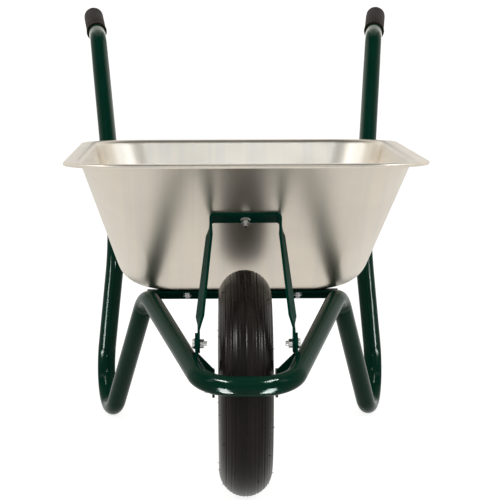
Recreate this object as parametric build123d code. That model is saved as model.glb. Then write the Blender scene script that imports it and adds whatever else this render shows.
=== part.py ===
from build123d import *
import math
import os

os.makedirs("parts", exist_ok=True)

# Wheelbarrow: one bent tube carries a pressed tray, and a wheel turns between two axle brackets.
# Lengths are in millimetres. X runs across, Y from the wheel to the handles, Z up from the floor.
# A "back" size is a distance behind the front of the nose, a "height" is above the floor.

# Wheel sizes
tyre_diameter = 368.0
tyre_width = 86.0
tyre_wall = 6.5
tyre_section_ratio = 0.94
rim_width_ratio = 0.75
rim_sheet = 2.5
rim_disc_diameter = 144.0
rim_well_width = 16.0
tyre_bead_thickness = 10.0
tyre_bead_gap = 0.3
inner_tube_gap = 0.4
inner_tube_wall = 1.6
valve_offset = 16.0
valve_diameter = 8.0
valve_length = 40.0
valve_cap_diameter = 10.0
valve_cap_length = 12.0
valve_cap_overlap = 7.0
valve_angle = 60.0
rim_bolt_circle = 100.0
rim_bolt_count = 4

# Axle, hub and bearing sizes
axle_diameter = 20.0
axle_washer_diameter = 37.0
axle_washer_thickness = 3.0
axle_nut_flats = 30.0
axle_nut_height = 10.0
axle_end_length = 4.0
spacer_length = 12.5
spacer_wall = 4.0
hub_length = 74.0
hub_wall = 4.0
hub_bore_step = 3.0
bearing_diameter = 42.0
bearing_width = 12.0
ball_diameter = 6.35
ball_count = 9
ball_groove_depth = 1.0
ball_clearance = 0.1
fit_clearance = 0.02

# Frame tube sizes
tube_diameter = 32.0
tube_wall = 1.5
nose_gap = 14.0
nose_half_width = 66.7
nose_height = 238.5
nose_bend = 66.0
apex_gap = 9.0
apex_half_width = 162.0
apex_height = 286.0
apex_bend = 90.0
foot_half_width = 271.0
foot_back = 812.0
foot_bend = 80.0
foot_flat = 0.8
foot_solver_steps = 12
knee_half_width = 220.5
knee_back = 739.0
knee_height = 309.0
knee_bend = 95.0
elbow_half_width = 267.6
elbow_back = 1198.0
elbow_height = 605.0
elbow_bend = 90.0
grip_tip_half_width = 283.0
grip_tip_back = 1366.0
grip_tip_height = 628.0

# Grip sizes
grip_diameter = 37.5
grip_length = 118.0
grip_end_wall = 7.0
grip_end_rounding = 6.0
grip_collar_diameter = 39.5
grip_collar_length = 4.0
grip_rib_count = 20
grip_groove_diameter = 2.2
grip_groove_margin = 12.0

# Tray sizes
tray_sheet = 1.0
tray_tilt = 8.1
rim_front_back = 8.0
rim_height_ratio = 1.5924
rim_length = 886.0
rim_half_width = 281.5
rim_bead_radius = 3.5
rim_curl_turn = 235.0
flange_width = 21.5
rim_corner = 116.0
flange_overlap = 40.0
front_wall_corner = 75.0
rear_wall_corner = 95.0
floor_rise = 2.0
floor_half_width = 200.0
floor_edge_radius = 56.0
floor_length = 312.0

# Crossbar sizes
crossbar_sheet = 3.0
crossbar_leg = 17.0
front_bar_offset = 9.0
front_bar_width = 40.0
front_bar_bolt_margin = 13.0
rear_bar_width = 40.0
tray_bolt_half_spacing = 94.0

# Axle bracket and brace sizes
bracket_plate = 4.0
bracket_bend = 7.0
bracket_bite = 6.5
bracket_tab_radius = 17.0
bracket_tab_depth = 9.0
bracket_web_margin = 5.0
bracket_web_run = 35.0
bracket_web_top = 21.0
bracket_web_low = 37.0
bracket_boss_radius = 24.0
brace_bolt_back = 118.0
brace_bolt_rise = 30.0
brace_width = 30.0
brace_sheet = 4.0
brace_half_width = 57.5
brace_depth = 90.0
brace_tab_length = 26.0
brace_bend = 6.0
brace_end_length = 12.0
brace_twist_top = 14.0
brace_twist_low = 20.0
brace_twist_share = 0.11

# Fastener sizes, as shares of the thread diameter where they follow it
bolt_diameter = 8.0
bolt_hole_clearance = 0.4
bolt_head_ratio = 2.1
bolt_head_height_ratio = 0.6
bolt_head_rounding_ratio = 0.5
bolt_tail_ratio = 0.6
nut_flats_ratio = 1.625
nut_height_ratio = 0.8
washer_ratio = 2.0
washer_thickness_ratio = 0.2

ON_BASE = (Align.CENTER, Align.CENTER, Align.MIN)
SIDES = (-1, 1)

# Sizes of the fasteners
bolt_radius = bolt_diameter / 2
bolt_head_radius = bolt_head_ratio * bolt_radius
bolt_head_height = bolt_head_height_ratio * bolt_diameter
bolt_tail = bolt_tail_ratio * bolt_diameter
nut_flats = nut_flats_ratio * bolt_diameter
nut_height = nut_height_ratio * bolt_diameter
washer_radius = washer_ratio * bolt_radius
washer_thickness = washer_thickness_ratio * bolt_diameter
bolt_hole_radius = bolt_radius + bolt_hole_clearance / 2

# Where the wheel stands
tyre_radius = tyre_diameter / 2
tube_radius = tube_diameter / 2
axle_radius = axle_diameter / 2
axle_height = tyre_radius
axle_back = tube_diameter + nose_gap + tyre_radius
wheel_place = Pos(0, axle_back, axle_height)

# Corners of the right half of the tube's centre line
nose_corner = Vector(nose_half_width, tube_radius, nose_height)
apex_corner = Vector(apex_half_width, axle_back + tyre_radius + apex_gap, apex_height)
knee_corner = Vector(knee_half_width, knee_back, knee_height)
elbow_corner = Vector(elbow_half_width, elbow_back, elbow_height)
grip_tip = Vector(grip_tip_half_width, grip_tip_back, grip_tip_height)
grip_direction = (grip_tip - elbow_corner).normalized()
tube_end = grip_tip - grip_direction * grip_end_wall


def lowest_of_bend(before, corner, after, bend):
    """Height of the lowest point of the tube on a bend between two straight runs."""
    inward = (corner - before).normalized()
    onward = (after - corner).normalized()
    turn = math.radians(inward.get_angle(onward))
    centre = corner + (onward - inward).normalized() * (bend / math.cos(turn / 2))
    normal = inward.cross(onward).normalized()
    return centre.Z - bend * math.sqrt(1 - normal.Z ** 2) - tube_radius


def foot_corner_on_floor():
    """Foot corner whose bend presses its underside onto the floor by the depth of the foot flat."""
    corner = Vector(foot_half_width, foot_back, 0)
    for _ in range(foot_solver_steps):
        low = lowest_of_bend(apex_corner, corner, knee_corner, foot_bend)
        corner = corner - Vector(0, 0, low + foot_flat)
    return corner


foot_corner = foot_corner_on_floor()


def point_between(start, end, share):
    """Point on the line from start to end."""
    return start + (end - start) * share


def mirrored(point):
    """The same point on the left of the barrow."""
    return Vector(-point.X, point.Y, point.Z)


# Frame tube: one pipe from the left grip round both feet and the nose to the right grip
right_corners = [nose_corner, apex_corner, foot_corner, knee_corner, elbow_corner, tube_end]
right_bends = [nose_bend, apex_bend, foot_bend, knee_bend, elbow_bend]
left_corners = [mirrored(corner) for corner in reversed(right_corners)]
tube_path = FilletPolyline(*left_corners, *right_corners, radius=right_bends[::-1] + right_bends)
tube_section = Plane(origin=tube_path @ 0, z_dir=tube_path % 0)
tube_solid = sweep(tube_section * Circle(tube_radius), path=tube_path)
tube_bore = sweep(tube_section * Circle(tube_radius - tube_wall), path=tube_path)
below_floor = Pos(0, foot_back, -foot_flat) * Box(
    2 * foot_half_width + tube_diameter, 4 * foot_bend, foot_flat, align=ON_BASE
)
frame_tube = tube_solid - tube_bore - below_floor

# Tray position: the floor lies on the front crossbar just behind the tyre, the rim over the nose
tilt = math.radians(tray_tilt)
rim_front_height = rim_height_ratio * tyre_diameter
tray_place = Pos(0, rim_front_back, rim_front_height) * Rot(X=-tray_tilt)
front_bar_back = apex_corner.Y + front_bar_offset


def in_tray(point):
    """Distance along the tray from its front bead, and height over the bead, of a point."""
    back = point.Y - rim_front_back
    rise = point.Z - rim_front_height
    along = back * math.cos(tilt) - rise * math.sin(tilt)
    return along, back * math.sin(tilt) + rise * math.cos(tilt)


floor_front, floor_level = in_tray(Vector(0, front_bar_back + floor_rise, apex_height + floor_rise))
tray_depth = -floor_level
floor_rear = floor_front + floor_length
rim_top = rim_bead_radius
wall_rise = rim_top + tray_depth
opening_front = flange_width
opening_rear = rim_length - flange_width
opening_half_width = rim_half_width - flange_width
front_lean = (floor_front - opening_front) / wall_rise
rear_lean = (opening_rear - floor_rear) / wall_rise
side_lean = (opening_half_width - floor_half_width) / wall_rise


def tray_block(inset):
    """Block inside the tray's outer surface, or inside a surface that far within the sheet."""
    sections = []
    for level in (inset - tray_depth, rim_top + inset):
        drop = rim_top - level
        front = opening_front + front_lean * drop + inset * math.hypot(1, front_lean)
        rear = opening_rear - rear_lean * drop - inset * math.hypot(1, rear_lean)
        half = opening_half_width - side_lean * drop - inset * math.hypot(1, side_lean)
        sections.append(Pos(0, (front + rear) / 2, level) * Rectangle(2 * half, rear - front))
    block = loft(sections, ruled=True)
    for end, radius in ((0, front_wall_corner), (-1, rear_wall_corner)):
        end_wall = block.faces().sort_by(Axis.Y)[end]
        block = fillet(end_wall.edges() - end_wall.edges().filter_by(Plane.XY), radius - inset)
    floor_edges = block.faces().sort_by(Axis.Z)[0].edges()
    return fillet(floor_edges, floor_edge_radius - inset)


def rim_band():
    """Flange with its rolled edge, swept once round the tray."""
    curl_inside = rim_bead_radius - tray_sheet
    flange_end = -flange_width - flange_overlap
    outer_curl = CenterArc((0, 0), rim_bead_radius, 90, -rim_curl_turn)
    inner_curl = CenterArc((0, 0), curl_inside, 90, -rim_curl_turn)
    flange_outline = Polyline(
        outer_curl @ 0, (flange_end, rim_bead_radius), (flange_end, curl_inside), inner_curl @ 0
    )
    section = make_face([outer_curl, Line(outer_curl @ 1, inner_curl @ 1), inner_curl, flange_outline])
    outline = RectangleRounded(2 * rim_half_width, rim_length, rim_corner)
    loop = (Pos(0, rim_length / 2) * outline).wires()[0]
    forward = loop % 0
    outward = forward.cross(Vector(0, 0, 1))
    if outward.dot(loop @ 0 - Vector(0, rim_length / 2, 0)) < 0:
        outward = -outward
    facing = outward.cross(Vector(0, 0, 1))
    return sweep(Plane(origin=loop @ 0, x_dir=outward, z_dir=facing) * section, path=loop)


# Front wall of the tray, where the brace is bolted: its outer surface at the height of the brace
brace_seat = Vector(0, opening_front + front_lean * (rim_top + brace_depth), -brace_depth)
brace_plane = Plane(origin=brace_seat, x_dir=(1, 0, 0), z_dir=(0, -1, -front_lean))


def behind_rear_wall(point):
    """Distance along the tray from the plane of its rear wall back to a point."""
    along, level = in_tray(point)
    return along - opening_rear + rear_lean * (rim_top - level)


# Rear wall of the tray, where the rear crossbar lies on it: at the height where the handles pass it
knee_offset = behind_rear_wall(knee_corner)
handle_share = knee_offset / (knee_offset - behind_rear_wall(elbow_corner))
handle_at_wall = point_between(knee_corner, elbow_corner, handle_share)
rear_plane = Plane(
    origin=(0, *in_tray(handle_at_wall)), x_dir=(1, 0, 0), z_dir=(0, -1, rear_lean)
)

# Bolt places of the tray, with local Z into the tray
front_bar_front = floor_front - floor_rise
front_bolts_along = front_bar_front + front_bar_width - front_bar_bolt_margin
floor_bolt_places = [
    Pos(side * tray_bolt_half_spacing, front_bolts_along, -tray_depth) for side in SIDES
]
rear_bolt_places = [rear_plane.location * Pos(side * tray_bolt_half_spacing, 0, 0) for side in SIDES]


def drilled(body, places, radius, reach):
    """Body with round holes along the local Z of each place."""
    for place in places:
        body = body - place * Cylinder(radius, reach)
    return body


# Tray
tray = tray_block(0) + rim_band() - tray_block(tray_sheet)
tray = drilled(tray, floor_bolt_places + rear_bolt_places, bolt_hole_radius, 4 * tray_sheet)
tray = drilled(tray, [brace_plane.location], bolt_hole_radius, 4 * tray_sheet)
tray = tray_place * tray


def fitted_bar(bar, places):
    """Bar in the tray's frame, drilled for its bolts and cut to sit against the tube."""
    bar = drilled(bar, places, bolt_hole_radius, 4 * crossbar_sheet)
    pieces = (tray_place * bar - tube_solid).solids()
    return pieces.sort_by(SortBy.VOLUME)[-1]


# Front crossbar: a folded bar under the tray floor, between the two bends behind the wheel
front_bar_top = Pos(0, front_bar_front + front_bar_width / 2, -tray_depth - crossbar_sheet) * Box(
    2 * apex_half_width, front_bar_width, crossbar_sheet, align=ON_BASE
)
front_bar_rear = front_bar_front + front_bar_width - crossbar_sheet / 2
front_bar_fold = Pos(0, front_bar_rear, -tray_depth - crossbar_leg) * Box(
    2 * apex_half_width, crossbar_sheet, crossbar_leg, align=ON_BASE
)
front_crossbar = fitted_bar(front_bar_top + front_bar_fold, floor_bolt_places)

# Rear crossbar: a flat bar across the outside of the tray's rear wall, between the handles
rear_bar = Pos(0, 0, -crossbar_sheet) * Box(
    2 * handle_at_wall.X, rear_bar_width, crossbar_sheet, align=ON_BASE
)
rear_crossbar = fitted_bar(rear_plane.location * rear_bar, rear_bolt_places)


def dome_bolt(length):
    """Round-headed bolt, head above the XY plane and shank below it."""
    head = Cylinder(bolt_head_radius, bolt_head_height, align=ON_BASE)
    head = fillet(head.edges().sort_by(Axis.Z)[-1], bolt_head_rounding_ratio * bolt_diameter)
    return head + Pos(0, 0, -length) * Cylinder(bolt_radius, length, align=ON_BASE)


def ring(outer, inner, height):
    """Round ring standing on the XY plane."""
    body = Cylinder(outer, height, align=ON_BASE)
    return body - Cylinder(inner, height, align=ON_BASE)


def hex_nut(flats, bore, height):
    """Hexagon nut standing on the XY plane."""
    body = extrude(RegularPolygon(flats / 2, 6, major_radius=False), height)
    return body - Cylinder(bore, height, align=ON_BASE)


def group(shapes):
    """Separate solids that make one node."""
    return Compound(children=list(shapes))


thread_bore = bolt_radius + fit_clearance
clamp_length = washer_thickness + nut_height + bolt_tail

# Tray bolts, heads inside the tray, washers and nuts outside on the crossbars
tray_bolt = Pos(0, 0, tray_sheet) * dome_bolt(tray_sheet + crossbar_sheet + clamp_length)
tray_washer = Pos(0, 0, -crossbar_sheet - washer_thickness) * ring(
    washer_radius, thread_bore, washer_thickness
)
tray_nut = Pos(0, 0, -crossbar_sheet - washer_thickness - nut_height) * hex_nut(
    nut_flats, thread_bore, nut_height
)
tray_floor_bolts = group(tray_place * place * tray_bolt for place in floor_bolt_places)
tray_floor_washers = group(tray_place * place * tray_washer for place in floor_bolt_places)
tray_floor_nuts = group(tray_place * place * tray_nut for place in floor_bolt_places)
tray_rear_bolts = group(tray_place * place * tray_bolt for place in rear_bolt_places)
tray_rear_washers = group(tray_place * place * tray_washer for place in rear_bolt_places)
tray_rear_nuts = group(tray_place * place * tray_nut for place in rear_bolt_places)

# Brace wall bolt, head inside the tray, washer and nut outside on the brace
wall_place = tray_place * brace_plane.location
wall_bolt_body = dome_bolt(tray_sheet + brace_sheet + clamp_length)
brace_wall_bolt = wall_place * Pos(0, 0, -tray_sheet) * Rot(X=180) * wall_bolt_body
brace_wall_washer = wall_place * Pos(0, 0, brace_sheet) * ring(
    washer_radius, thread_bore, washer_thickness
)
brace_wall_nut = wall_place * Pos(0, 0, brace_sheet + washer_thickness) * hex_nut(
    nut_flats, thread_bore, nut_height
)

# Axle brackets: a tab on the tube, a slanting web and a plate at the axle
tab_share = (brace_bolt_back - nose_corner.Y) / (apex_corner.Y - nose_corner.Y)
tube_at_tab = point_between(nose_corner, apex_corner, tab_share)
tab_outer = tube_at_tab.X - tube_radius + bracket_bite
tab_middle = tab_outer - bracket_plate / 2
brace_bolt_height = tube_at_tab.Z + brace_bolt_rise
plate_inner = hub_length / 2 + spacer_length
plate_middle = plate_inner + bracket_plate / 2
plate_outer = plate_inner + bracket_plate
web_front = brace_bolt_back + bracket_tab_radius + bracket_web_margin
web_rear = web_front + bracket_web_run


def bracket_strip():
    """Bent plate of the right bracket seen from above, raised well past both ends."""
    centre_line = FilletPolyline(
        (tab_middle, brace_bolt_back - bracket_tab_radius),
        (tab_middle, web_front),
        (plate_middle, web_rear),
        (plate_middle, axle_back + bracket_boss_radius),
        radius=bracket_bend,
    )
    plan = trace(centre_line, line_width=bracket_plate)
    return extrude(plan, brace_bolt_height + bracket_tab_radius)


def bracket_side():
    """Outline of the bracket seen from the side, as a block across the barrow."""
    tab_front = brace_bolt_back - bracket_tab_radius
    tab_rear = brace_bolt_back + bracket_tab_radius
    web = Polygon(
        (tab_front, brace_bolt_height),
        (tab_front, tube_at_tab.Z - bracket_tab_depth),
        (web_front, tube_at_tab.Z - bracket_tab_radius),
        (axle_back, axle_height - bracket_boss_radius),
        (axle_back, axle_height + bracket_boss_radius),
        (web_rear, axle_height + bracket_web_low),
        (web_front, brace_bolt_height - bracket_web_top),
        (tab_rear, brace_bolt_height),
        align=None,
    )
    tab = Pos(brace_bolt_back, brace_bolt_height) * Circle(bracket_tab_radius)
    boss = Pos(axle_back, axle_height) * Circle(bracket_boss_radius)
    return extrude(Plane.YZ * (web + tab + boss), tab_outer)


brace_bolt_line = Pos(0, brace_bolt_back, brace_bolt_height) * Rot(Y=90)
axle_line = wheel_place * Rot(Y=90)
right_bracket = bracket_strip() & bracket_side()
right_bracket = right_bracket - tube_solid
right_bracket = drilled(right_bracket, [brace_bolt_line], bolt_hole_radius, 2 * tab_outer)
right_bracket = drilled(right_bracket, [axle_line], axle_radius + fit_clearance, 2 * tab_outer)
axle_bracket_right = right_bracket.solids().sort_by(SortBy.VOLUME)[-1]
axle_bracket_left = mirror(axle_bracket_right, about=Plane.YZ)

# Front brace: a flat bar on the tray wall, bent at both ends into two twisted legs down to the tabs
brace_tab_middle = tab_outer - bracket_plate - brace_sheet / 2
brace_inner = brace_tab_middle - brace_sheet / 2
brace_leg_middle = brace_half_width - brace_sheet / 2


def brace_bar():
    """Bar of the brace on the XY plane, both ends bent up and away from it, drilled for its bolt."""
    centre_line = FilletPolyline(
        (-brace_leg_middle, brace_end_length),
        (-brace_leg_middle, brace_sheet / 2),
        (brace_leg_middle, brace_sheet / 2),
        (brace_leg_middle, brace_end_length),
        radius=brace_bend,
    )
    strip = extrude(Plane.XZ * trace(centre_line, line_width=brace_sheet), brace_width / 2, both=True)
    return drilled(strip, [Pos(0, 0, 0)], bolt_hole_radius, 4 * brace_sheet)


def brace_leg():
    """Right leg of the brace: edge-on at the bar, turned along its length, edge-on at the tab."""
    bar_end = wall_place * Pos(brace_leg_middle, 0, brace_end_length)
    top = bar_end.position
    low = Vector(brace_tab_middle, brace_bolt_back, brace_bolt_height + brace_tab_length)
    down = (low - top).normalized()
    across = (Vector(1, 0, 0) - down * down.X).normalized()
    section = Rectangle(brace_sheet, brace_width)
    sections = [bar_end * section]
    for share, twist in ((brace_twist_share, brace_twist_top), (1 - brace_twist_share, brace_twist_low)):
        turned = across.rotate(Axis((0, 0, 0), down), twist)
        sections.append(Plane(origin=point_between(top, low, share), x_dir=turned, z_dir=down) * section)
    sections.append(Plane(origin=low, x_dir=(1, 0, 0), z_dir=(0, 0, -1)) * section)
    tab = Pos(brace_bolt_back, brace_bolt_height) * Circle(brace_width / 2)
    tab = tab + Pos(brace_bolt_back, brace_bolt_height + brace_tab_length / 2) * Rectangle(
        brace_width, brace_tab_length
    )
    return loft(sections, ruled=True) + extrude(Plane.YZ.offset(brace_inner) * tab, brace_sheet)


right_leg = drilled(brace_leg(), [brace_bolt_line], bolt_hole_radius, 2 * tab_outer)
front_brace = wall_place * brace_bar() + right_leg + mirror(right_leg, about=Plane.YZ)

# Brace lower bolts, heads outside the bracket tabs, nuts inside the brace
lower_bolt = dome_bolt(bracket_plate + brace_sheet + nut_height + bolt_tail)
lower_bolt_right = Pos(tab_outer, brace_bolt_back, brace_bolt_height) * Rot(Y=90) * lower_bolt
lower_nut = Rot(Y=90) * hex_nut(nut_flats, thread_bore, nut_height)
lower_nut_right = Pos(brace_inner - nut_height, brace_bolt_back, brace_bolt_height) * lower_nut
brace_lower_bolts = group([lower_bolt_right, mirror(lower_bolt_right, about=Plane.YZ)])
brace_lower_nuts = group([lower_nut_right, mirror(lower_nut_right, about=Plane.YZ)])


def both_ends(shape, start):
    """The shape standing on the axle at this distance from the middle, on both sides."""
    right = wheel_place * Pos(start, 0, 0) * Rot(Y=90) * shape
    return group([right, mirror(right, about=Plane.YZ)])


# Axle and what is clamped on it
axle_bore = axle_radius + fit_clearance
nut_seat = plate_outer + axle_washer_thickness
axle_half_length = nut_seat + axle_nut_height + axle_end_length
axle = axle_line * Cylinder(axle_radius, 2 * axle_half_length)
axle_washers = both_ends(
    ring(axle_washer_diameter / 2, axle_bore, axle_washer_thickness), plate_outer
)
axle_nuts = both_ends(hex_nut(axle_nut_flats, axle_bore, axle_nut_height), nut_seat)
axle_spacers = both_ends(
    ring(axle_radius + spacer_wall, axle_bore, spacer_length), hub_length / 2
)

# Ball bearings at both ends of the hub
bearing_radius = bearing_diameter / 2
bearing_inner_end = hub_length / 2 - bearing_width
ball_radius = ball_diameter / 2
ball_circle = (axle_radius + bearing_radius) / 2
ball_race = wheel_place * Rot(Y=90) * Torus(ball_circle, ball_radius + ball_clearance)
ring_gap = ball_radius - ball_groove_depth


def race_cut(rings):
    """Bearing rings with the ball groove turned into them."""
    for side in SIDES:
        rings = rings - Pos(side * (hub_length - bearing_width) / 2, 0, 0) * ball_race
    return group(rings.solids())


inner_ring = ring(ball_circle - ring_gap, axle_bore, bearing_width)
outer_ring = ring(bearing_radius - fit_clearance, ball_circle + ring_gap, bearing_width)
bearing_inner_rings = race_cut(Part() + both_ends(inner_ring, bearing_inner_end).solids())
bearing_outer_rings = race_cut(Part() + both_ends(outer_ring, bearing_inner_end).solids())
centre_spacer_ring = ring(axle_radius + spacer_wall / 2, axle_bore, 2 * bearing_inner_end)
centre_spacer = wheel_place * Pos(-bearing_inner_end, 0, 0) * Rot(Y=90) * centre_spacer_ring
balls = []
for side in SIDES:
    for index in range(ball_count):
        turn = Rot(X=index * 360 / ball_count)
        ball_place = wheel_place * Pos(side * (hub_length - bearing_width) / 2, 0, 0) * turn
        balls.append(ball_place * Pos(0, ball_circle, 0) * Sphere(ball_radius))
bearing_balls = group(balls)

# Hub tube, stepped so that the bearings seat against a shoulder
hub_radius = bearing_radius + hub_wall
hub = axle_line * (
    Cylinder(hub_radius, hub_length) - Cylinder(bearing_radius - hub_bore_step, hub_length)
)
for side in SIDES:
    seat_middle = side * (hub_length - bearing_width) / 2
    hub = hub - axle_line * Pos(0, 0, seat_middle) * Cylinder(bearing_radius, bearing_width)

# Tyre and inner tube, turned about the axle
tyre_section_radius = tyre_width / 2
tyre_section_centre = tyre_radius - tyre_section_radius
tyre_inner_radius = tyre_section_radius - tyre_wall
rim_seat_radius = tyre_radius - tyre_section_ratio * tyre_width
rim_half_width_inside = rim_width_ratio * tyre_width / 2
bead_outer = rim_half_width_inside - tyre_bead_gap
bead_inner = bead_outer - tyre_bead_thickness
bead_base = rim_seat_radius + tyre_bead_gap


def side_height(radius, across):
    """Distance from the axle of the tyre's lower side on a section circle."""
    return tyre_section_centre - math.sqrt(radius ** 2 - across ** 2)


def turned_about_axle(face):
    """Solid of revolution about the wheel's axle; the face has X across and Y away from the axle."""
    return wheel_place * revolve(face, axis=Axis.X)


bead_top = side_height(tyre_section_radius, bead_outer)
bead_lip = side_height(tyre_inner_radius, bead_inner)
tread_line = ThreePointArc((-bead_outer, bead_top), (0, tyre_radius), (bead_outer, bead_top))
right_bead_line = Polyline(
    (bead_outer, bead_top), (bead_outer, bead_base), (bead_inner, bead_base), (bead_inner, bead_lip)
)
lining_line = ThreePointArc((bead_inner, bead_lip), (0, tyre_radius - tyre_wall), (-bead_inner, bead_lip))
left_bead_line = Polyline(
    (-bead_inner, bead_lip), (-bead_inner, bead_base), (-bead_outer, bead_base), (-bead_outer, bead_top)
)
tyre = turned_about_axle(make_face([tread_line, right_bead_line, lining_line, left_bead_line]))
inner_tube_radius = tyre_inner_radius - inner_tube_gap
inner_tube_section = Circle(inner_tube_radius) - Circle(inner_tube_radius - inner_tube_wall)
inner_tube = turned_about_axle(Pos(0, tyre_section_centre) * inner_tube_section)
inner_tube_solid = turned_about_axle(Pos(0, tyre_section_centre) * Circle(inner_tube_radius))

# Rim: two pressed halves bolted face to face and welded to the hub
rim_underside = rim_seat_radius - rim_sheet
rim_disc_radius = rim_disc_diameter / 2
rim_flange_radius = bead_top - 2 * tyre_bead_gap
rim_outside = rim_half_width_inside + rim_sheet
rim_profile = Polygon(
    (0, hub_radius),
    (0, rim_disc_radius),
    (rim_well_width / 2, rim_seat_radius),
    (rim_half_width_inside, rim_seat_radius),
    (rim_half_width_inside, rim_flange_radius),
    (rim_outside, rim_flange_radius),
    (rim_outside, rim_underside),
    (rim_well_width / 2 + rim_sheet, rim_underside),
    (rim_sheet, rim_disc_radius),
    (rim_sheet, hub_radius),
    align=None,
)
rim_bolt_places = [
    wheel_place * Rot(X=(index + 1 / 2) * 360 / rim_bolt_count) * Pos(0, rim_bolt_circle / 2, 0)
    for index in range(rim_bolt_count)
]
rim_hole_places = [place * Rot(Y=90) for place in rim_bolt_places]
plain_rim_half = drilled(turned_about_axle(rim_profile), rim_hole_places, bolt_hole_radius, 4 * rim_sheet)
rim_half_left = mirror(plain_rim_half, about=Plane.YZ)
rim_bolt_body = dome_bolt(2 * rim_sheet + nut_height + bolt_tail)
rim_bolts = group(place * Pos(-rim_sheet, 0, 0) * Rot(Y=-90) * rim_bolt_body for place in rim_bolt_places)
rim_nuts = group(
    place * Pos(rim_sheet, 0, 0) * Rot(Y=90) * hex_nut(nut_flats, thread_bore, nut_height)
    for place in rim_bolt_places
)

# Valve through the right rim half, its foot on the inner tube
valve_place = wheel_place * Rot(X=valve_angle) * Pos(valve_offset, rim_underside, 0) * Rot(X=90)
valve_radius = valve_diameter / 2
valve_foot = side_height(inner_tube_radius, valve_offset - valve_radius) - rim_underside
valve_rod = Cylinder(valve_radius, valve_length, align=ON_BASE)
valve_rod = valve_rod + Pos(0, 0, -valve_foot) * Cylinder(valve_radius, valve_foot, align=ON_BASE)
valve_rod = valve_rod + Pos(0, 0, -2 * valve_foot) * Cylinder(valve_radius, valve_foot, align=ON_BASE)
valve_stem = (valve_place * valve_rod - inner_tube_solid).solids().sort_by(SortBy.VOLUME)[-1]
rim_half_right = plain_rim_half - valve_place * Cylinder(valve_radius + fit_clearance, 4 * rim_sheet)
cap_start = valve_length - valve_cap_overlap
valve_cap_body = Cylinder(valve_cap_diameter / 2, valve_cap_length, align=ON_BASE)
valve_cap_body = valve_cap_body - Cylinder(valve_radius + fit_clearance, valve_cap_overlap, align=ON_BASE)
valve_cap = valve_place * Pos(0, 0, cap_start) * valve_cap_body

# Grips: ribbed sleeves with a collar, pushed over the tube ends
grip_plane = Plane(origin=grip_tip - grip_direction * grip_length, z_dir=grip_direction)
grip_body = Cylinder(grip_diameter / 2, grip_length, align=ON_BASE)
grip_body = fillet(grip_body.edges().sort_by(Axis.Z)[-1], grip_end_rounding)
grip_body = grip_body + Cylinder(grip_collar_diameter / 2, grip_collar_length, align=ON_BASE)
grip_bore = Cylinder(tube_radius + fit_clearance, grip_length - grip_end_wall, align=ON_BASE)
grip_body = grip_body - grip_bore
groove_length = grip_length - 2 * grip_groove_margin
for index in range(grip_rib_count):
    groove_place = Rot(Z=index * 360 / grip_rib_count) * Pos(grip_diameter / 2, 0, grip_groove_margin)
    groove = Cylinder(grip_groove_diameter / 2, groove_length, align=ON_BASE)
    grip_body = grip_body - groove_place * groove
grip_right = grip_plane * grip_body
grip_left = mirror(grip_right, about=Plane.YZ)

nodes = {
    "frame_tube": frame_tube,
    "front_crossbar": front_crossbar,
    "rear_crossbar": rear_crossbar,
    "axle_bracket_left": axle_bracket_left,
    "axle_bracket_right": axle_bracket_right,
    "front_brace": front_brace,
    "tray": tray,
    "tray_floor_bolts": tray_floor_bolts,
    "tray_floor_washers": tray_floor_washers,
    "tray_floor_nuts": tray_floor_nuts,
    "tray_rear_bolts": tray_rear_bolts,
    "tray_rear_washers": tray_rear_washers,
    "tray_rear_nuts": tray_rear_nuts,
    "brace_wall_bolt": brace_wall_bolt,
    "brace_wall_washer": brace_wall_washer,
    "brace_wall_nut": brace_wall_nut,
    "brace_lower_bolts": brace_lower_bolts,
    "brace_lower_nuts": brace_lower_nuts,
    "grip_left": grip_left,
    "grip_right": grip_right,
    "axle": axle,
    "axle_washers": axle_washers,
    "axle_nuts": axle_nuts,
    "axle_spacers": axle_spacers,
    "centre_spacer": centre_spacer,
    "bearing_inner_rings": bearing_inner_rings,
    "bearing_outer_rings": bearing_outer_rings,
    "bearing_balls": bearing_balls,
    "hub": hub,
    "rim_half_left": rim_half_left,
    "rim_half_right": rim_half_right,
    "rim_bolts": rim_bolts,
    "rim_nuts": rim_nuts,
    "tyre": tyre,
    "inner_tube": inner_tube,
    "valve_stem": valve_stem,
    "valve_cap": valve_cap,
}

# The origin goes to the middle of the footprint on the floor
boxes = [shape.bounding_box() for shape in nodes.values()]
front_end = min(box.min.Y for box in boxes)
rear_end = max(box.max.Y for box in boxes)
centred = Pos(0, -(front_end + rear_end) / 2, 0)
for name, shape in nodes.items():
    export_step(centred * shape, f"parts/{name}.step")
print("front", front_end, "rear", rear_end)
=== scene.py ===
import logging
import math
from dataclasses import dataclass
from enum import Enum
from typing import Callable, ClassVar, Dict, List, Optional, Sequence, Tuple

import bmesh
import bpy
from mathutils import Matrix, Vector


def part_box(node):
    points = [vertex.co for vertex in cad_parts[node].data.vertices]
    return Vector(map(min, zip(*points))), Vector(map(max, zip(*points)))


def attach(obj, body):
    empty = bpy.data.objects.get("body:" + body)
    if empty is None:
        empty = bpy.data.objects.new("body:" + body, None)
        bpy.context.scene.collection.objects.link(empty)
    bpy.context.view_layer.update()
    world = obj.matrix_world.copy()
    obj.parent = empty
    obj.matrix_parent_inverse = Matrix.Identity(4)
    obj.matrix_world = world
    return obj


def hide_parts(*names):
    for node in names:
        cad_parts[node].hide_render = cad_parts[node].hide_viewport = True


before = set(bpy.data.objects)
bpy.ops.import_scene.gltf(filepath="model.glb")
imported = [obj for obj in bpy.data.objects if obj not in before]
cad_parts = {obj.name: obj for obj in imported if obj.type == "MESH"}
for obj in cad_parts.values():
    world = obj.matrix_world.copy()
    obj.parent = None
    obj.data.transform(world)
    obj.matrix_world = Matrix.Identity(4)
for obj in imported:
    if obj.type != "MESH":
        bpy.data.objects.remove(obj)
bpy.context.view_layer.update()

LOG = logging.getLogger("wheelbarrow")
MM = 0.001
WELD = 0.01 * MM
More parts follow.
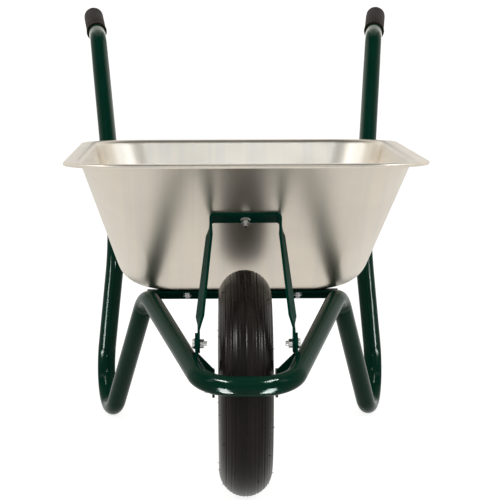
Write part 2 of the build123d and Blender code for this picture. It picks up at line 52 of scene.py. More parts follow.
NOSE_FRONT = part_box("frame_tube")[0].y

Colour = Tuple[float, float, float, float]
Tint = Tuple[float, float, float]
Point = Tuple[float, float, float]
Pair = Tuple[float, float]


class Body(Enum):
    """The two bodies that pieces ride on."""

    FRAME = "frame"
    WHEEL = "wheel"


class Slot(Enum):
    """Material slots of the record."""

    PAINT = "green_paint"
    TRAY = "galvanised_sheet"
    ZINC = "zinc_steel"
    STEEL = "bearing_steel"
    RIM = "rim_paint"
    TYRE = "tyre_rubber"
    TUBE = "tube_rubber"
    GRIP = "grip_rubber"
    CAP = "cap_plastic"


class Gloss(Enum):
    """Sets of pieces that have lamps for their highlights alone."""

    RUBBER = "rubber"
    TUBES = "tubes"
    SHEETS = "sheets"


def at(across: float, back: float, height: float) -> Vector:
    """Point in metres from millimetres across, behind the nose and above the floor."""
    return Vector((across * MM, NOSE_FRONT + back * MM, height * MM))


def standing(place: Vector, facing: Vector) -> Matrix:
    """Matrix that stands the Z axis at a place, along a direction."""
    return Matrix.Translation(place) @ facing.to_track_quat("Z", "Y").to_matrix().to_4x4()


def verts_of(geom: Sequence) -> List[bmesh.types.BMVert]:
    """The vertices among mixed geometry."""
    return [item for item in geom if isinstance(item, bmesh.types.BMVert)]


def edges_of(geom: Sequence) -> List[bmesh.types.BMEdge]:
    """The edges among mixed geometry."""
    return [item for item in geom if isinstance(item, bmesh.types.BMEdge)]


def verts_of_edges(edges: Sequence[bmesh.types.BMEdge]) -> List[bmesh.types.BMVert]:
    """The vertices that some edges end on."""
    return sorted({vert for edge in edges for vert in edge.verts}, key=lambda vert: vert.index)


def edges_between(verts: Sequence[bmesh.types.BMVert]) -> List[bmesh.types.BMEdge]:
    """The edges that have both ends in a set of vertices.

    Args:
        verts: Vertices of a loop or patch.

    Returns:
        Their shared edges, in a steady order.
    """
    inside = set(verts)
    found = {edge for vert in verts for edge in vert.link_edges if edge.other_vert(vert) in inside}
    return sorted(found, key=lambda edge: edge.index)


# Node groups


class NodeTree:
    """Short way to add and join nodes in one tree."""

    def __init__(self, tree: bpy.types.NodeTree) -> None:
        """Takes the tree to fill."""
        self.tree = tree

    def add(self, kind: str, **values: object) -> bpy.types.Node:
        """Adds a node.

        Args:
            kind: Blender's name of the node type.
            values: Attributes of the node.

        Returns:
            The new node.
        """
        node = self.tree.nodes.new(kind)
        for name, value in values.items():
            setattr(node, name, value)
        return node

    def join(self, start: bpy.types.NodeSocket, end: bpy.types.NodeSocket) -> None:
        """Links an output to an input."""
        self.tree.links.new(start, end)

    def feed(self, socket: bpy.types.NodeSocket, value: object) -> None:
        """Gives an input another node's output or a plain value.

        Args:
            socket: The input.
            value: Socket, number or colour.
        """
        if isinstance(value, bpy.types.NodeSocket):
            self.join(value, socket)
        else:
            socket.default_value = value

    def math(self, operation: str, first: object, second: object) -> bpy.types.NodeSocket:
        """Adds a Math node.

        Args:
            operation: Name of the operation.
            first: Socket or number.
            second: Socket or number.

        Returns:
            The result's socket.
        """
        node = self.add("ShaderNodeMath", operation=operation)
        self.feed(node.inputs[0], first)
        self.feed(node.inputs[1], second)
        return node.outputs[0]

    def noise(self, vector: bpy.types.NodeSocket, scale: object, detail: float) -> bpy.types.NodeSocket:
        """Adds a Noise texture.

        Args:
            vector: Coordinates.
            scale: Socket or number.
            detail: How many finer layers it has.

        Returns:
            The value's socket.
        """
        node = self.add("ShaderNodeTexNoise")
        self.join(vector, node.inputs["Vector"])
        self.feed(node.inputs["Scale"], scale)
        node.inputs["Detail"].default_value = detail
        return node.outputs["Fac"]

    def spread(self, value: bpy.types.NodeSocket, low: float, high: float, start: float = 0.3,
               end: float = 0.7) -> bpy.types.NodeSocket:
        """Maps a value's middle range onto a wanted range.

        Args:
            value: Socket to map.
            low: Result at start.
            high: Result at end.
            start: Lower value.
            end: Upper value.

        Returns:
            The mapped socket.
        """
        node = self.add("ShaderNodeMapRange", interpolation_type="SMOOTHSTEP")
        self.join(value, node.inputs["Value"])
        ends = (("From Min", start), ("From Max", end), ("To Min", low), ("To Max", high))
        for name, number in ends:
            node.inputs[name].default_value = number
        return node.outputs["Result"]

    def blend(self, mask: bpy.types.NodeSocket, first: object, second: object) -> bpy.types.NodeSocket:
        """Mixes two colours by a mask.

        Args:
            mask: Share of the second colour.
            first: Colour or socket.
            second: Colour or socket.

        Returns:
            The mixed colour's socket.
        """
        node = self.add("ShaderNodeMix", data_type="RGBA")
        colours = [socket for socket in node.inputs if socket.type == "RGBA"]
        self.join(mask, node.inputs["Factor"])
        self.feed(colours[0], first)
        self.feed(colours[1], second)
        return next(socket for socket in node.outputs if socket.type == "RGBA")

    def group(self, tree: bpy.types.NodeTree, place: bpy.types.NodeSocket,
              **values: object) -> bpy.types.NodeSocket:
        """Places a shared group.

        Args:
            tree: The group.
            place: Coordinates.
            values: Numbers or vectors for the group's other inputs.

        Returns:
            The group's output socket.
        """
        node = self.add("ShaderNodeGroup", node_tree=tree)
        self.join(place, node.inputs["Vector"])
        for name, value in values.items():
            node.inputs[name].default_value = value
        return node.outputs[0]


Sockets = bpy.types.bpy_prop_collection


class Effects:
    """Shader node groups that several finishes share."""

    CLOSE_SCALE = 4.3
    WIDE_SHARE = 0.7
    CLOSE_SHARE = 0.3
    SPECK_RADIUS = 0.16
    SPECK_CLUSTER = 0.31

    def __init__(self) -> None:
        """Builds each group once."""
        self.clouds = self.make("cloudy_patches", ("Scale",), "Mask", self.fill_clouds)
        self.grain = self.make("fine_grain", ("Scale", "Depth"), "Height", self.fill_grain)
        self.specks = self.make("dust_specks", ("Scale", "Share"), "Mask", self.fill_specks)
        self.streaks = self.make("drawn_streaks", ("Pull", "Scale"), "Mask", self.fill_streaks)

    @staticmethod
    def make(name: str, inputs: Sequence[str], output: str,
             fill: Callable[[NodeTree, Sockets, bpy.types.NodeSocket], None]) -> bpy.types.NodeTree:
        """Makes a group with its sockets and fills it.

        Args:
            name: Name of the group.
            inputs: Names of the inputs beside the coordinates.
            output: Name of the output.
            fill: Function that adds the nodes.

        Returns:
            The group's tree.
        """
        tree = bpy.data.node_groups.new(name, "ShaderNodeTree")
        for label in ("Vector", *inputs):
            kind = "NodeSocketVector" if label in ("Vector", "Pull") else "NodeSocketFloat"
            tree.interface.new_socket(name=label, in_out="INPUT", socket_type=kind)
        tree.interface.new_socket(name=output, in_out="OUTPUT", socket_type="NodeSocketFloat")
        nodes = NodeTree(tree)
        fill(nodes, nodes.add("NodeGroupInput").outputs, nodes.add("NodeGroupOutput").inputs[0])
        return tree

    def fill_clouds(self, nodes: NodeTree, given: Sockets, result: bpy.types.NodeSocket) -> None:
        """Large soft patches from two noises.

        Args:
            nodes: The group's nodes.
            given: The group's inputs.
            result: The group's output.
        """
        wide = nodes.noise(given["Vector"], given["Scale"], detail=3.0)
        closer = nodes.math("MULTIPLY", given["Scale"], self.CLOSE_SCALE)
        close = nodes.noise(given["Vector"], closer, detail=2.0)
        mixed = nodes.math("ADD", nodes.math("MULTIPLY", wide, self.WIDE_SHARE),
                           nodes.math("MULTIPLY", close, self.CLOSE_SHARE))
        nodes.join(mixed, result)

    def fill_grain(self, nodes: NodeTree, given: Sockets, result: bpy.types.NodeSocket) -> None:
        """Fine height of a moulded or sprayed surface."""
        fine = nodes.noise(given["Vector"], given["Scale"], detail=4.0)
        nodes.join(nodes.math("MULTIPLY", fine, given["Depth"]), result)

    def fill_specks(self, nodes: NodeTree, given: Sockets, result: bpy.types.NodeSocket) -> None:
        """Small separate marks of dust and handling.

        Args:
            nodes: The group's nodes.
            given: The group's inputs.
            result: The group's output.
        """
        cells = nodes.add("ShaderNodeTexVoronoi", feature="F1")
        nodes.join(given["Vector"], cells.inputs["Vector"])
        nodes.join(given["Scale"], cells.inputs["Scale"])
        near = nodes.math("LESS_THAN", cells.outputs["Distance"], self.SPECK_RADIUS)
        wider = nodes.math("MULTIPLY", given["Scale"], self.SPECK_CLUSTER)
        chosen = nodes.noise(given["Vector"], wider, detail=2.0)
        kept = nodes.math("GREATER_THAN", chosen, nodes.math("SUBTRACT", 1.0, given["Share"]))
        nodes.join(nodes.math("MULTIPLY", near, kept), result)

    def fill_streaks(self, nodes: NodeTree, given: Sockets, result: bpy.types.NodeSocket) -> None:
        """Narrow marks drawn out where the pull is small.

        Args:
            nodes: The group's nodes.
            given: The group's inputs.
            result: The group's output.
        """
        pulled = nodes.add("ShaderNodeVectorMath", operation="MULTIPLY")
        nodes.join(given["Vector"], pulled.inputs[0])
        nodes.join(given["Pull"], pulled.inputs[1])
        nodes.join(nodes.noise(pulled.outputs[0], given["Scale"], detail=5.0), result)


# Finishes


@dataclass(frozen=True)
class Finish:
    """A surface finish: two close colours, a roughness range, a fine height, specks and streaks."""

    name: str
    slot: Slot
    colour: Colour
    patch_colour: Colour
    roughness: Pair
    patch_scale: float
    grain_scale: float
    grain_depth: float
    metallic: float = 0.0
    specular: float = 0.5
    speck_colour: Colour = (0.4, 0.4, 0.38, 1.0)
    speck_scale: float = 220.0
    speck_share: float = 0.34
    streak_scale: float = 0.0
    streak_colour: Colour = (0.5, 0.5, 0.5, 1.0)
    streak_share: float = 0.0

    STREAK_PULL: ClassVar[Point] = (1.0, 0.012, 0.012)
    STREAK_RANGE: ClassVar[Pair] = (0.42, 0.68)
    SPECK_STRENGTH: ClassVar[float] = 0.3
    SPECK_ROUGHNESS: ClassVar[float] = 0.4

    def material(self, effects: Effects) -> bpy.types.Material:
        """Builds the material.

        Args:
            effects: The shared node groups.

        Returns:
            The finished material.
        """
        made = bpy.data.materials.new(self.name)
        made.use_nodes = True
        nodes = NodeTree(made.node_tree)
        shader = made.node_tree.nodes["Principled BSDF"]
        place = nodes.add("ShaderNodeTexCoord").outputs["Object"]
        patches = nodes.group(effects.clouds, place, Scale=self.patch_scale)
        colour = nodes.blend(nodes.spread(patches, 0.0, 1.0), self.colour, self.patch_colour)
        rough = nodes.spread(patches, *self.roughness)
        if self.streak_share:
            streaks = nodes.group(effects.streaks, place, Pull=self.STREAK_PULL, Scale=self.streak_scale)
            marks = nodes.spread(streaks, 0.0, self.streak_share, *self.STREAK_RANGE)
            colour = nodes.blend(marks, colour, self.streak_colour)
        specks = nodes.group(effects.specks, place, Scale=self.speck_scale, Share=self.speck_share)
        faint = nodes.math("MULTIPLY", specks, self.SPECK_STRENGTH)
        colour = nodes.blend(faint, colour, self.speck_colour)
        rough = nodes.math("ADD", rough, nodes.math("MULTIPLY", faint, self.SPECK_ROUGHNESS))
        bump = nodes.add("ShaderNodeBump")
        bump.inputs["Strength"].default_value = 1.0
        bump.inputs["Distance"].default_value = MM
        height = nodes.group(effects.grain, place, Scale=self.grain_scale, Depth=self.grain_depth)
        nodes.join(height, bump.inputs["Height"])
        nodes.join(colour, shader.inputs["Base Color"])
        nodes.join(rough, shader.inputs["Roughness"])
        nodes.join(bump.outputs["Normal"], shader.inputs["Normal"])
        shader.inputs["Metallic"].default_value = self.metallic
        shader.inputs["Specular IOR Level"].default_value = self.specular
        return made


PAINT = Finish(
    "bottle_green_enamel", Slot.PAINT, (0.0009, 0.034, 0.0195, 1), (0.0013, 0.041, 0.0235, 1),
    roughness=(0.12, 0.16), patch_scale=9.0, grain_scale=60.0, grain_depth=0.003, specular=0.05,
    speck_colour=(0.03, 0.08, 0.06, 1))
PLATE_PAINT = Finish(
    "bottle_green_plate", Slot.PAINT, (0.0010, 0.042, 0.027, 1), (0.0014, 0.050, 0.032, 1),
    roughness=(0.28, 0.36), patch_scale=14.0, grain_scale=90.0, grain_depth=0.01, specular=0.008,
    speck_colour=(0.03, 0.08, 0.06, 1))
GALVANISED = Finish(
    "galvanised_sheet", Slot.TRAY, (0.80, 0.72, 0.605, 1), (0.75, 0.68, 0.58, 1),
    roughness=(0.30, 0.35), patch_scale=5.0, grain_scale=20.0, grain_depth=0.01, metallic=0.92,
    specular=0.2, speck_share=0.0, streak_scale=70.0, streak_colour=(0.66, 0.62, 0.56, 1),
    streak_share=0.4)
ZINC = Finish(
    "bright_zinc", Slot.ZINC, (0.72, 0.72, 0.70, 1), (0.60, 0.61, 0.60, 1),
    roughness=(0.18, 0.34), patch_scale=60.0, grain_scale=900.0, grain_depth=0.03, metallic=1.0,
    speck_colour=(0.3, 0.28, 0.25, 1))
STEEL = Finish(
    "ground_steel", Slot.STEEL, (0.50, 0.50, 0.50, 1), (0.42, 0.42, 0.43, 1),
    roughness=(0.22, 0.36), patch_scale=50.0, grain_scale=800.0, grain_depth=0.03, metallic=1.0)
RIM = Finish(
    "silver_enamel", Slot.RIM, (0.42, 0.43, 0.43, 1), (0.36, 0.37, 0.37, 1),
    roughness=(0.30, 0.42), patch_scale=14.0, grain_scale=600.0, grain_depth=0.04, metallic=0.35,
    speck_colour=(0.2, 0.19, 0.17, 1))
TYRE = Finish(
    "tyre_rubber", Slot.TYRE, (0.0085, 0.0070, 0.0066, 1), (0.014, 0.0105, 0.009, 1),
    roughness=(0.24, 0.32), patch_scale=11.0, grain_scale=300.0, grain_depth=0.012, specular=0.12,
    speck_colour=(0.05, 0.04, 0.034, 1), streak_scale=150.0, streak_colour=(0.028, 0.022, 0.019, 1),
    streak_share=0.8)
GRIP = Finish(
    "grip_rubber", Slot.GRIP, (0.021, 0.0138, 0.0090, 1), (0.031, 0.0205, 0.0130, 1),
    roughness=(0.40, 0.52), patch_scale=40.0, grain_scale=700.0, grain_depth=0.08, specular=0.04,
    speck_colour=(0.06, 0.05, 0.04, 1))
TUBE_RUBBER = Finish(
    "valve_rubber", Slot.TUBE, (0.018, 0.018, 0.018, 1), (0.028, 0.027, 0.026, 1),
    roughness=(0.5, 0.65), patch_scale=40.0, grain_scale=700.0, grain_depth=0.1)
CAP = Finish(
    "cap_plastic", Slot.CAP, (0.014, 0.014, 0.014, 1), (0.022, 0.022, 0.022, 1),
    roughness=(0.4, 0.5), patch_scale=60.0, grain_scale=900.0, grain_depth=0.06)
FINISHES = (PAINT, PLATE_PAINT, GALVANISED, ZINC, STEEL, RIM, TYRE, GRIP, TUBE_RUBBER, CAP)


class Workshop:
    """Holds the finished materials and turns meshes into pieces that ride on the frame."""

    FLAT_WITHIN = math.radians(1.0)
    EASED_OVER = math.radians(40.0)
    EASE_STEPS = 2

    def __init__(self) -> None:
        """Makes every material and every set of glossy pieces once."""
        effects = Effects()
        self.materials = {finish: finish.material(effects) for finish in FINISHES}
        self.glossy = {gloss: bpy.data.collections.new(gloss.value) for gloss in Gloss}

    def piece(self, bm: bmesh.types.BMesh, name: str, finish: Finish, body: Body, nodes: Sequence[str],
              sharp: float = 38.0, gloss: Optional[Gloss] = None) -> bpy.types.Object:
        """Makes an object of a bmesh and rides it on a body.

        Args:
            bm: Mesh in metres, in the shared frame. It is freed.
            name: Name of the piece.
            finish: Surface finish.
            body: Body that it moves with.
            nodes: CAD nodes that it stands for.
            sharp: Edges that turn by more degrees than this stay sharp.
            gloss: Set of glossy pieces that it belongs to.

        Returns:
            The new object.
        """
        for face in bm.faces:
            face.smooth = True
        for edge in bm.edges:
            edge.smooth = edge.calc_face_angle(0.0) < math.radians(sharp)
        mesh = bpy.data.meshes.new(name)
        bm.to_mesh(mesh)
        bm.free()
        mesh.materials.append(self.materials[finish])
        made = bpy.data.objects.new(name, mesh)
        bpy.context.scene.collection.objects.link(made)
        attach(made, body.value)
        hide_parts(*nodes)
        if gloss:
            self.glossy[gloss].objects.link(made)
        LOG.info("%s: %d faces, %s on %s", name, len(mesh.polygons), finish.name, body.value)
        return made

    def softened(self, node: str, finish: Finish, body: Body, width: float) -> None:
        """Makes a copy of a CAD node with its edges eased, which stands for the node.

        Args:
            node: Name of the node.
            finish: Surface finish.
            body: Body that it moves with.
            width: Width of the eased edge in millimetres.
        """
        bm = bmesh.new()
        bm.from_mesh(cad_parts[node].data)
        bmesh.ops.remove_doubles(bm, verts=bm.verts[:], dist=WELD)
        bmesh.ops.dissolve_limit(bm, angle_limit=self.FLAT_WITHIN, use_dissolve_boundaries=False,
                                 verts=bm.verts[:], edges=bm.edges[:], delimit=set())
        made = self.piece(bm, f"{node}_dressed", finish, body, (node,))
        ease = made.modifiers.new("ease", "BEVEL")
        ease.width = width * MM
        ease.segments = self.EASE_STEPS
        ease.limit_method = "ANGLE"
        ease.angle_limit = self.EASED_OVER
        made.modifiers.new("even", "WEIGHTED_NORMAL")


# Frame tube


@dataclass(frozen=True)
class Bend:
    """A bend of the tube in millimetres: where its straight runs meet, its radius, its press mark."""

    corner: Point
    radius: float
    crimp: float = 0.0


NOSE = Bend((66.7, 16.0, 238.5), 66.0)
APEX = Bend((162.0, 423.0, 286.0), 90.0, crimp=2.7)
FOOT = Bend((271.0, 812.0, -166.796), 80.0, crimp=4.5)
KNEE = Bend((220.5, 739.0, 309.0), 95.0)
ELBOW = Bend((267.6, 1198.0, 605.0), 90.0)
GRIP_TIP: Point = (283.0, 1366.0, 628.0)


@dataclass
class FrameTube:
    """The bent tube: each straight run is drawn out and each bend is turned about its centre."""

    bends: Tuple[Bend, ...] = (NOSE, APEX, FOOT, KNEE, ELBOW)
    radius: float = 16.0
    sides: int = 80
    end_wall: float = 7.0
    run_steps: int = 4
    bend_steps: int = 12
    bend_step: float = 2.0
    crimp_start: float = 0.2
    crimp_rise: float = 0.55
    crimp_ramp: float = 0.12
    crimp_waves: int = 3
    crimp_ripple: float = 0.25

    def crimp(self, verts: Sequence[bmesh.types.BMVert], centre: Vector, axis: Vector, start: Vector,
              turn: float, bend: Bend) -> None:
        """Presses the inside of a bend into the tube, as a press bender leaves it.

        Args:
            verts: Vertices of the bend.
            centre: Centre of the bend.
            axis: Axis that the bend turns about.
            start: Direction from the centre to the bend's start.
            turn: Angle of the bend.
            bend: Radius of the bend's centre line and depth of the mark.
        """
        for vert in verts:
            arm = vert.co - centre
            flat = arm - axis * arm.dot(axis)
            inside = (bend.radius * MM - flat.length) / (self.radius * MM)
            if inside <= self.crimp_start:
                continue
            share = math.atan2(axis.dot(start.cross(flat)), start.dot(flat)) / turn
            ramp = max(0.0, min(1.0, share / self.crimp_ramp, (1.0 - share) / self.crimp_ramp))
            wave = math.cos(share * self.crimp_waves * 2 * math.pi)
            ripple = 1.0 - self.crimp_ripple + self.crimp_ripple * wave
            press = min(1.0, (inside - self.crimp_start) / self.crimp_rise)
            depth = bend.crimp * MM * press * ramp * ramp * (3 - 2 * ramp) * ripple
            vert.co += flat.normalized() * depth

    def run(self, bm: bmesh.types.BMesh, loop: Sequence[bmesh.types.BMEdge],
            step: Vector) -> List[bmesh.types.BMEdge]:
        """Draws the open end out along a straight run.

        Args:
            bm: The tube's mesh.
            loop: Edges of the open end.
            step: The whole run.

        Returns:
            Edges of the new open end.
        """
        for _ in range(self.run_steps):
            grown = verts_of(bmesh.ops.extrude_edge_only(bm, edges=list(loop))["geom"])
            bmesh.ops.translate(bm, verts=grown, vec=step / self.run_steps)
            loop = edges_between(grown)
        return loop

    def build(self, shop: Workshop) -> None:
        """Builds the tube from the nose to the right grip and mirrors it.

        Args:
            shop: Maker of pieces.
        """
        corners = [at(*bend.corner) for bend in self.bends]
        tip = at(*GRIP_TIP)
        end = tip - (tip - corners[-1]).normalized() * self.end_wall * MM
        bm = bmesh.new()
        place = Vector((0.0, *corners[0].yz))
        facing = Vector((1.0, 0.0, 0.0))
        ring = bmesh.ops.create_circle(bm, radius=self.radius * MM, segments=self.sides,
                                       matrix=standing(place, facing))["verts"]
        loop = edges_between(ring)
        for bend, corner, after in zip(self.bends, corners, corners[1:] + [end]):
            onward = (after - corner).normalized()
            turn = facing.angle(onward)
            reach = bend.radius * MM * math.tan(turn / 2)
            stop = corner - facing * reach
            loop = self.run(bm, loop, stop - place)
            inward = (onward - facing * facing.dot(onward)).normalized()
            centre = stop + inward * bend.radius * MM
            axis = facing.cross(onward).normalized()
            known = set(bm.verts)
            steps = max(self.bend_steps, round(math.degrees(turn) / self.bend_step))
            result = bmesh.ops.spin(bm, geom=verts_of_edges(loop) + loop, cent=centre, axis=axis,
                                    angle=turn, steps=steps)
            loop = edges_of(result["geom_last"])
            if bend.crimp:
                fresh = [vert for vert in bm.verts if vert not in known]
                self.crimp(fresh, centre, axis, -inward, turn, bend)
            place = corner + onward * reach
            facing = onward
        loop = self.run(bm, loop, end - place)
        bmesh.ops.edgeloop_fill(bm, edges=loop)
        bmesh.ops.mirror(bm, geom=bm.verts[:] + bm.edges[:] + bm.faces[:], axis="X", merge_dist=WELD)
        bmesh.ops.remove_doubles(bm, verts=bm.verts[:], dist=WELD)
        bmesh.ops.recalc_face_normals(bm, faces=bm.faces[:])
        for vert in bm.verts:
            vert.co.z = max(vert.co.z, 0.0)
        shop.piece(bm, "bent_frame_tube", PAINT, Body.FRAME, ("frame_tube",), sharp=60.0,
                   gloss=Gloss.TUBES)


# Tray


@dataclass(frozen=True)
class Outline:
    """A level rounded outline round the tray, in the tray's own millimetres."""

    half: float
    front: float
    rear: float
    level: float
    front_corner: Pair
    rear_corner: Pair

    def corner(self, across: int, along: int) -> Matrix:
        """Sets a quarter of a unit circle into one corner.

        Args:
            across: -1 for the left, 1 for the right.
            along: -1 for the front, 1 for the rear.

        Returns:
            The quarter's matrix.
        """
        wide, long = self.front_corner if along < 0 else self.rear_corner
        side = self.front + long if along < 0 else self.rear - long
        centre = Vector((across * (self.half - wide), side, self.level))
        return Matrix.Translation(centre) @ Matrix.Diagonal((wide, long, 1.0, 1.0))


Quarters = Dict[Tuple[int, int], List[bmesh.types.BMVert]]


@dataclass
class Tray:
    """The pressed tray: level rounded outlines from the floor to the rolled edge, joined in turn."""

    tilt: float = 8.1
    rim_back: float = 8.0
    rim_height: float = 586.0
    rim_length: float = 886.0
    rim_half_width: float = 281.5
    rim_corner: float = 116.0
    bead_inside: float = 2.5
    bead_turn: float = 235.0
    bead_steps: int = 12
    sheet: float = 1.0
    flange_width: float = 21.5
    depth: float = 235.02
    floor_front: float = 463.74
    floor_rear: float = 775.74
    floor_half_width: float = 200.0
    floor_radius: float = 56.0
    lip_radius: float = 7.0
    corner_steps: int = 20
    front_corner: Pair = (61.0, 118.0)
    rear_corner: Pair = (90.0, 93.0)
    wall_rises: Tuple[float, ...] = (
        0.0, 0.4, 1.5, 3.5, 6.5, 10.5, 16.0, 23.0, 32.0, 43.0, 80.0, 130.0, 180.0, 210.0)
    lip_drops: Tuple[float, ...] = (14.0, 8.0, 5.2, 3.6, 2.2, 1.1, 0.4, 0.0)

    def place(self) -> Matrix:
        """Matrix from the tray's own millimetres to the shared frame."""
        tilt = Matrix.Rotation(-math.radians(self.tilt), 4, "X")
        return Matrix.Translation(at(0.0, self.rim_back, self.rim_height)) @ tilt @ Matrix.Scale(MM, 4)

    @staticmethod
    def eased(rise: float, lean: float, radius: float) -> float:
        """Offset of a leaning wall, with its foot rounded.

        Args:
            rise: Distance above the foot.
            lean: Offset for each unit of rise.
            radius: Radius of the foot.

        Returns:
            The offset at that rise.
        """
        slope = math.atan2(1.0, lean)
        if rise >= radius * (1 - math.cos(slope)):
            return lean * rise
        return radius * math.sin(math.acos(1 - rise / radius)) - radius * math.tan(slope / 2)

    def outlines(self) -> List[Outline]:
        """The outlines from the floor up the walls, over the lip and round the rolled edge.

        Returns:
            The outlines in order.
        """
        rise = self.depth + self.bead_inside
        span = rise + self.sheet
        front_lean = (self.floor_front - self.flange_width) / span
        rear_lean = (self.rim_length - self.flange_width - self.floor_rear) / span
        side_lean = (self.rim_half_width - self.flange_width - self.floor_half_width) / span
        found = []
        for height in self.wall_rises:
            found.append(Outline(
                self.floor_half_width + self.eased(height, side_lean, self.floor_radius),
                self.floor_front - self.eased(height, front_lean, self.floor_radius),
                self.floor_rear + self.eased(height, rear_lean, self.floor_radius),
                height - self.depth, self.front_corner, self.rear_corner))
        for drop in self.lip_drops:
            found.append(Outline(
                self.floor_half_width + side_lean * rise - self.eased(drop, side_lean, self.lip_radius),
                self.floor_front - front_lean * rise + self.eased(drop, front_lean, self.lip_radius),
                self.floor_rear + rear_lean * rise - self.eased(drop, rear_lean, self.lip_radius),
                self.bead_inside - drop, self.front_corner, self.rear_corner))
        for step in range(self.bead_steps + 1):
            angle = math.radians(90 - self.bead_turn * step / self.bead_steps)
            out = self.bead_inside * math.cos(angle)
            corner = (self.rim_corner + out, self.rim_corner + out)
            found.append(Outline(self.rim_half_width + out, -out, self.rim_length + out,
                                 self.bead_inside * math.sin(angle), corner, corner))
        return found

    def start(self, bm: bmesh.types.BMesh, first: Outline) -> Quarters:
        """Makes the first outline by pulling a circle's quarters apart.

        Args:
            bm: Mesh to add to.
            first: The outline.

        Returns:
            The outline's vertices by quarter.
        """
        half_step = Matrix.Rotation(math.pi / (4 * self.corner_steps), 4, "Z")
        ring = bmesh.ops.create_circle(bm, radius=1.0, segments=4 * self.corner_steps,
                                       matrix=half_step)["verts"]
        quarters = {}
        for across in (-1, 1):
            for along in (-1, 1):
                quarters[across, along] = [
                    vert for vert in ring if vert.co.x * across > 0 and vert.co.y * along > 0]
        for key, verts in quarters.items():
            bmesh.ops.transform(bm, verts=verts, matrix=first.corner(*key))
        return quarters

    @staticmethod
    def loop(quarters: Quarters) -> List[bmesh.types.BMEdge]:
        """The edges of a whole outline."""
        return edges_between([vert for verts in quarters.values() for vert in verts])

    def grow(self, bm: bmesh.types.BMesh, quarters: Quarters, old: Outline, new: Outline) -> Quarters:
        """Draws the sheet on from one outline to the next.

        Args:
            bm: The tray's mesh.
            quarters: Vertices of the old outline by quarter.
            old: The outline that they follow.
            new: The outline to reach.

        Returns:
            The new outline's vertices by quarter.
        """
        drawn = bmesh.ops.extrude_edge_only(bm, edges=self.loop(quarters))["geom"]
        fresh = set(verts_of(drawn))
        grown = {}
        for key, verts in quarters.items():
            grown[key] = [
                next(edge.other_vert(vert) for edge in vert.link_edges if edge.other_vert(vert) in fresh)
                for vert in verts]
            move = new.corner(*key) @ old.corner(*key).inverted()
            bmesh.ops.transform(bm, verts=grown[key], matrix=move)
        return grown

    def build(self, shop: Workshop) -> None:
        """Builds the tray and its rolled edge, and gives the sheet its thickness.

        Args:
            shop: Maker of pieces.
        """
        outlines = self.outlines()
        bm = bmesh.new()
        quarters = self.start(bm, outlines[0])
        bmesh.ops.edgeloop_fill(bm, edges=self.loop(quarters))
        for old, new in zip(outlines, outlines[1:]):
            quarters = self.grow(bm, quarters, old, new)
        floor_face = min(bm.faces, key=lambda face: face.calc_center_median().z)
        bmesh.ops.recalc_face_normals(bm, faces=bm.faces[:])
        if floor_face.normal.z < 0:
            bmesh.ops.reverse_faces(bm, faces=bm.faces[:])
        bmesh.ops.transform(bm, verts=bm.verts[:], matrix=self.place())
        made = shop.piece(bm, "pressed_tray", GALVANISED, Body.FRAME, ("tray",), sharp=60.0,
                          gloss=Gloss.SHEETS)
        solid = made.modifiers.new("sheet", "SOLIDIFY")
        solid.thickness = self.sheet * MM
        solid.offset = 1.0
        solid.use_even_offset = True


# Wheel


